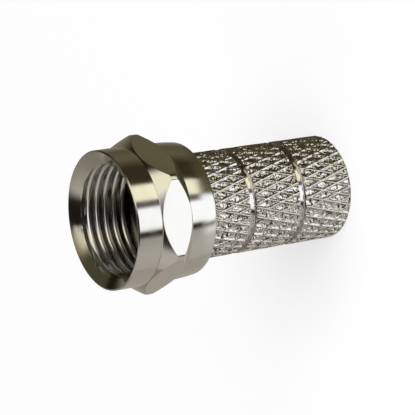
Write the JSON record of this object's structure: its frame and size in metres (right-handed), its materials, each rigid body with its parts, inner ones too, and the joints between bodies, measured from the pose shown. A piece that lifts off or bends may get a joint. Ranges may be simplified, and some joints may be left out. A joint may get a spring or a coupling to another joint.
{
  "type": "screw-on coaxial plug",
  "caption": "Screw-on coaxial cable plug: a free-spinning hexagonal coupling nut, held by a flanged ferrule pressed into a diamond-knurled sleeve.",
  "frame": {"origin": "centre of the cable end of the sleeve, on the surface that the plug stands on", "axes": "+Z along the plug's axis, from the cable end to the mouth of the coupling nut; +X through a corner of the nut's hexagon at rest"},
  "size_m": [0.0126, 0.0112, 0.0209],
  "materials": {
    "nickel_nut": "bright nickel plate on turned brass",
    "nickel_ferrule": "nickel plate on turned brass",
    "nickel_sleeve": "bright nickel plate on knurled brass"
  },
  "bodies": {
    "sleeve": {"knurled_sleeve": "nickel_sleeve", "front_ferrule": "nickel_ferrule"},
    "nut": {"coupling_nut": "nickel_nut"}
  },
  "joints": [
    {"name": "nut_spin", "type": "hinge", "parent": "sleeve", "child": "nut", "pos_m": [0, 0, 0.0143], "axis": [0, 0, 1], "continuous": true}
  ]
}
